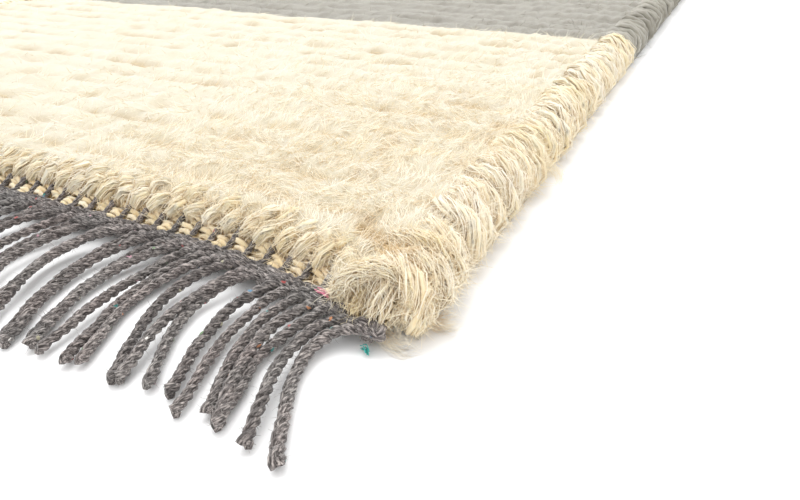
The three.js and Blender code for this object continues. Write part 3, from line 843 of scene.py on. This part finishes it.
fringes = []
draw = np.random.default_rng(5)
for name, end, step, sides in (("fringe_front", FRONT, 0.85, 5), ("fringe_back", BACK, 1.8, 3)):
    cords = []
    for number in range(KNOTS - 1):
        warp = (number + 1 - KNOTS / 2) * WARP_PITCH
        tick = smooth_path(TICK_PATH + (warp, 0.0, 0.0), int(TICK_LENGTH / step))
        cords.append({"points": beside(*tick.T, end), "tone": draw.uniform(0, 1),
                      "girth": draw.uniform(0.6, 0.75)})
    for number in range(CORDS):
        order = number / (CORDS - 1)
        order += CORD_CROWDING[name] * order * (1 - order)
        root = (order - 0.5) * (KNOTS - 1) * WARP_PITCH + draw.normal(0, 0.7)
        out = pull(root, end)
        reach = CORD_REACH + draw.uniform(-3, 3) - out
        bow = CORD_BOW + draw.normal(0, 2.0)
        drift = CORD_DRIFT + draw.normal(0, 3.0) + 0.1 * out
        over = max(0.0, draw.normal(0, 1.6))
        start = [(min(root + 11.0, TWINE_HALF), 8.0, 4.6),
                 (min(root + 8.0, TWINE_HALF), 9.8, PLAIT_TOP + draw.normal(0, 0.5)),
                 (min(root + 4.0, TWINE_HALF + 2), 11.8, PLAIT_TOP + draw.normal(0, 0.5))]
        share = CORD_SHARES
        drop = 4.0 * np.clip(1 - share / 0.45, 0, 1) ** 1.5
        lift = CORD_LOWEST + drop + over * np.sin(np.pi * share)
        fall = np.stack([root - bow * np.sin(np.pi * share ** 0.75) + drift * share,
                         CORD_ROOT + reach * share, lift], axis=1)
        nodes = np.vstack([np.array(start), fall])
        length = np.linalg.norm(np.diff(nodes, axis=0), axis=1).sum()
        fine = step if RUG_WIDTH / 2 - root < CLOSE_BY else FAR_CORD_STEP
        line = smooth_path(nodes, int(length / fine))
        walked = np.linspace(0, length, len(line))
        line[:, 0] += 0.7 * rolling(walked / 9, 0 * walked + number, 51)
        uneven = 1 + 0.1 * rolling(walked / 5, 0 * walked + number, 52)
        tip = np.clip((np.linspace(0, 1, len(line)) - UNTWISTED_FROM) / (1 - UNTWISTED_FROM), 0, 1)
        height = np.maximum(line[:, 2], CORD_LOWEST)
        cords.append({"points": beside(line[:, 0], line[:, 1], height, end),
                      "spread": 1 + 0.5 * tip ** 2, "tone": draw.uniform(0, 1),
                      "girth": draw.uniform(0.92, 1.1) * uneven * (1 + 0.05 * tip)})
    across = np.arange(-TWINE_HALF, TWINE_HALF, TWINE_STEP)
    for phase in (0, math.pi):
        turn_angle = 2 * math.pi * across / TWINE_TURN + phase
        cords.append({"points": beside(across, 12.0 + 1.2 * TWINE_OFFSET * np.cos(turn_angle),
                                       5.4 + TWINE_OFFSET * np.sin(turn_angle), end),
                      "tone": draw.uniform(0, 1)})
    piece = grown(name + "_cords", path_mesh(name, cords), twisted_yarn, {
        "Plies": 2, "Spread": CORD_SPREAD * MM, "Ply radius": CORD_PLY_RADIUS * MM,
        "Turn length": CORD_TURN * MM, "Sides": sides, "Scatter": 0.0, "Crimp": 0.0, "Ragged": 0.0,
        "Yarn": cotton})
    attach(piece, "root")
    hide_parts(name)
    fringes.append(piece)

# The scraps of thread: two loose ends of dyed cotton that came in with the recycled yarn, a pink
# one caught in the plait and a green-blue curl on the floor below it.
SCRAPS = [
    {"colour": "#D77E98", "path": [(260.5, -469.4, 8.2), (264.0, -470.8, 9.4), (268.0, -472.2, 8.4)]},
    {"colour": "#3FA79D", "path": [(283.0, -480.4, 1.4), (285.0, -481.4, 2.4), (286.8, -483.2, 1.2)]},
]
SCRAP_STEPS = 9
SCRAP_THREAD = {**LOOSE_STRANDS, "Plies": 9, "Spread": 0.7 * MM, "Crimp": 0.5 * MM}
for number, scrap in enumerate(SCRAPS):
    # Dyed cotton: one plain bright colour that stands out of the greys
    thread, _, thread_shader = blank_material("dyed_cotton_scrap_%d" % number)
    thread_shader.inputs["Base Color"].default_value = linear(scrap["colour"])
    soft_finish(thread_shader, 0.2)
    line = smooth_path(scrap["path"], SCRAP_STEPS)
    piece = grown("dyed_scrap_%d" % number, path_mesh("scrap", [{"points": line}]), twisted_yarn,
                  {**SCRAP_THREAD, "Yarn": thread})
    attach(piece, "root")

# The loose fibres: hand-spun wool and cotton are hairy, so fine bent fibres lie on and stand out
# of every surface, most of all over the wool at the photographed corner.
LYING_FIBRE = {"Length": 6.0 * MM, "Width": 0.2 * MM, "Rise": 0.2, "Stray": 0.7, "Bend": 0.5, "Joints": 3}
STANDING_FIBRE = {"Length": 6.0 * MM, "Width": 0.18 * MM, "Rise": 0.4, "Stray": 1.0, "Bend": 0.8, "Joints": 4}
LOWEST_FIBRE = 0.3


def fibre_tree():
    """Sows thin bent ribbons over a surface, leaning along its comb and straying by chance."""
    tree = bpy.data.node_groups.new("loose_fibres", "GeometryNodeTree")
    for name, kind in (("Surface", "Geometry"), ("Density", "Float"), ("Length", "Float"), ("Width", "Float"),
                       ("Rise", "Float"), ("Stray", "Float"), ("Bend", "Float"), ("Joints", "Int"),
                       ("Seed", "Int"), ("Fibre", "Material")):
        tree.interface.new_socket(name, in_out="INPUT", socket_type="NodeSocket" + kind)
    tree.interface.new_socket("Fibres", in_out="OUTPUT", socket_type="NodeSocketGeometry")
    given = add(tree, "NodeGroupInput").outputs
    thickness = add(tree, "GeometryNodeInputNamedAttribute", {"Name": "fuzz"}, data_type="FLOAT").outputs[0]
    density = add(tree, "ShaderNodeMath", {0: thickness, 1: given["Density"]}, operation="MULTIPLY")
    sown = add(tree, "GeometryNodeDistributePointsOnFaces", {
        "Mesh": given["Surface"], "Density": density.outputs[0], "Seed": given["Seed"]})
    standing = add(tree, "ShaderNodeVectorMath", {0: sown.outputs["Normal"], "Scale": given["Rise"]},
                   operation="SCALE")
    comb = add(tree, "GeometryNodeInputNamedAttribute", {
        "Name": "comb"}, data_type="FLOAT_VECTOR").outputs[0]
    leaning = add(tree, "ShaderNodeVectorMath", {0: standing.outputs[0], 1: comb}, operation="ADD")
    chance = add(tree, "FunctionNodeRandomValue", {
        0: (-1.0, -1.0, -1.0), 1: (1.0, 1.0, 1.0), "Seed": given["Seed"]},
        data_type="FLOAT_VECTOR").outputs[0]
    straying = add(tree, "ShaderNodeVectorMath", {0: chance, "Scale": given["Stray"]}, operation="SCALE")
    heading = add(tree, "ShaderNodeVectorMath", {
        0: leaning.outputs[0], 1: straying.outputs[0]}, operation="ADD")
    aimed = add(tree, "FunctionNodeAlignRotationToVector", {"Vector": heading.outputs[0]}, axis="X")
    angle = add(tree, "FunctionNodeRandomValue", {
        2: 0.0, 3: 2 * math.pi, "Seed": 7}, data_type="FLOAT").outputs[1]
    rolled = add(tree, "FunctionNodeAxisAngleToRotation", {"Axis": (1.0, 0.0, 0.0), "Angle": angle})
    placed = add(tree, "FunctionNodeRotateRotation", {
        "Rotation": aimed.outputs[0], "Rotate By": rolled.outputs[0]}, rotation_space="LOCAL")
    ribbon = add(tree, "GeometryNodeMeshGrid", {
        "Size X": 1.0, "Size Y": 1.0, "Vertices X": given["Joints"], "Vertices Y": 2})
    flat = add(tree, "ShaderNodeSeparateXYZ", {0: add(tree, "GeometryNodeInputPosition").outputs[0]})
    out = add(tree, "ShaderNodeMath", {0: flat.outputs["X"], 1: 0.5}, operation="ADD").outputs[0]
    taper = add(tree, "ShaderNodeMath", {0: out, 1: -0.7, 2: 1.0}, operation="MULTIPLY_ADD").outputs[0]
    wide = add(tree, "ShaderNodeMath", {
        0: flat.outputs["Y"], 1: given["Width"]}, operation="MULTIPLY").outputs[0]
    narrowing = add(tree, "ShaderNodeMath", {0: wide, 1: taper}, operation="MULTIPLY").outputs[0]
    long = add(tree, "ShaderNodeMath", {0: out, 1: given["Length"]}, operation="MULTIPLY").outputs[0]
    curve = add(tree, "ShaderNodeMath", {0: out, 1: long}, operation="MULTIPLY").outputs[0]
    bent = add(tree, "ShaderNodeMath", {0: curve, 1: given["Bend"]}, operation="MULTIPLY").outputs[0]
    shaped = add(tree, "GeometryNodeSetPosition", {
        "Geometry": ribbon.outputs["Mesh"],
        "Position": add(tree, "ShaderNodeCombineXYZ", {"X": long, "Y": narrowing, "Z": bent}).outputs[0]})
    size = add(tree, "FunctionNodeRandomValue", {0: (0.5, 0.8, -1.0), 1: (1.3, 1.2, 1.0), "Seed": 11},
               data_type="FLOAT_VECTOR").outputs[0]
    fibres = add(tree, "GeometryNodeInstanceOnPoints", {
        "Points": sown.outputs["Points"], "Instance": shaped.outputs[0], "Rotation": placed.outputs[0],
        "Scale": size})
    own_tone = add(tree, "GeometryNodeInputNamedAttribute", {"Name": "tone"}, data_type="FLOAT").outputs[0]
    vary = add(tree, "FunctionNodeRandomValue", {2: -0.2, 3: 0.3, "Seed": 13}, data_type="FLOAT").outputs[1]
    tone = add(tree, "ShaderNodeMath", {0: own_tone, 1: vary}, operation="ADD").outputs[0]
    toned = add(tree, "GeometryNodeStoreNamedAttribute", {
        "Geometry": fibres.outputs[0], "Name": "tone", "Value": tone}, data_type="FLOAT", domain="INSTANCE")
    whole = add(tree, "GeometryNodeRealizeInstances", {"Geometry": toned.outputs[0]})
    spot = add(tree, "ShaderNodeSeparateXYZ", {0: add(tree, "GeometryNodeInputPosition").outputs[0]})
    above_floor = add(tree, "ShaderNodeMath", {
        0: spot.outputs["Z"], 1: LOWEST_FIBRE * MM}, operation="MAXIMUM")
    held_up = add(tree, "ShaderNodeCombineXYZ", {
        "X": spot.outputs["X"], "Y": spot.outputs["Y"], "Z": above_floor.outputs[0]})
    resting = add(tree, "GeometryNodeSetPosition", {
        "Geometry": whole.outputs[0], "Position": held_up.outputs[0]})
    coloured = add(tree, "GeometryNodeSetMaterial", {
        "Geometry": resting.outputs[0], "Material": given["Fibre"]})
    add(tree, "NodeGroupOutput", {0: coloured.outputs[0]})
    return tree


# Single cotton fibres: a thin grey haze round the cords
fibre_cotton, fibre_cotton_tree, fibre_cotton_shader = blank_material("loose_cotton_fibre")
cotton_tone = add(fibre_cotton_tree, "ShaderNodeAttribute", attribute_name="tone").outputs["Fac"]
cotton_shade = add(fibre_cotton_tree, "ShaderNodeMix", {
    0: cotton_tone, 6: linear(DARK_COTTON), 7: linear(PALE_COTTON)}, data_type="RGBA")
fibre_cotton_tree.links.new(cotton_shade.outputs[2], fibre_cotton_shader.inputs["Base Color"])
soft_finish(fibre_cotton_shader, 0.3)
loose_fibres = fibre_tree()


def sown_over(name, piece, thickness, comb, sizes):
    """Fibres over a finished piece: how thick and which way come from its points in millimetres."""
    mesh = piece.data.copy()
    points = np.empty(len(mesh.vertices) * 3, np.float32)
    mesh.vertices.foreach_get("co", points)
    points = points.reshape(-1, 3) / MM
    give(mesh, "fuzz", thickness(points))
    give(mesh, "comb", comb(points), "FLOAT_VECTOR")
    fibres = grown(name, mesh, loose_fibres, sizes)
    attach(fibres, "root")
    return fibres


def from_corner(points):
    """How far points are from the front right corner, seen from above."""
    return np.hypot(points[:, 0] - CORNER[0], points[:, 1] - CORNER[1])


def near_corner(points):
    return np.clip(1.8 - from_corner(points) / 120, 0, 1) * (points[:, 2] > 8)


def away_from_corner(points):
    close = np.clip(1.5 - from_corner(points) / 260, 0.08, 1)
    return close * np.clip(from_corner(points) / 60 - 0.4, 0, 1) * (points[:, 2] > 8)


def everywhere(points):
    return np.clip(1.7 - from_corner(points) / 110, 0.08, 1) * (points[:, 2] > 2.5)


def swirling(points):
    lay = 3.0 * rolling(points[:, 0] / 15, points[:, 1] / 13, 41) + 1.3
    return np.stack([np.sin(lay), -np.cos(lay), 0 * lay], axis=1)


def unled(points):
    return np.zeros_like(points)


fibres = [
    sown_over("pile_fibres_near", field, near_corner, swirling, {
        **LYING_FIBRE, "Density": 0.8e6, "Seed": 5, "Fibre": fibre_wool}),
    sown_over("pile_fibres_far", field, away_from_corner, swirling, {
        **LYING_FIBRE, "Width": 0.3 * MM, "Density": 0.14e6, "Seed": 6, "Fibre": fibre_wool}),
    sown_over("lock_fibres", corner_locks[0], everywhere, unled, {
        **STANDING_FIBRE, "Density": 0.35e6, "Seed": 10, "Fibre": fibre_wool}),
]
for number, piece in enumerate((selvedges[0], end_knots[0], strip_wefts)):
    fibres.append(sown_over(piece.name + "_fibres", piece, everywhere, unled, {
        **STANDING_FIBRE, "Density": 0.18e6, "Seed": 20 + number, "Fibre": fibre_wool}))
for piece in fringes:
    fibres.append(sown_over(piece.name + "_fibres", piece, everywhere, unled, {
        **STANDING_FIBRE, "Length": 1.7 * MM, "Width": 0.12 * MM, "Density": 0.45e6, "Joints": 3, "Seed": 12,
        "Fibre": fibre_cotton}))
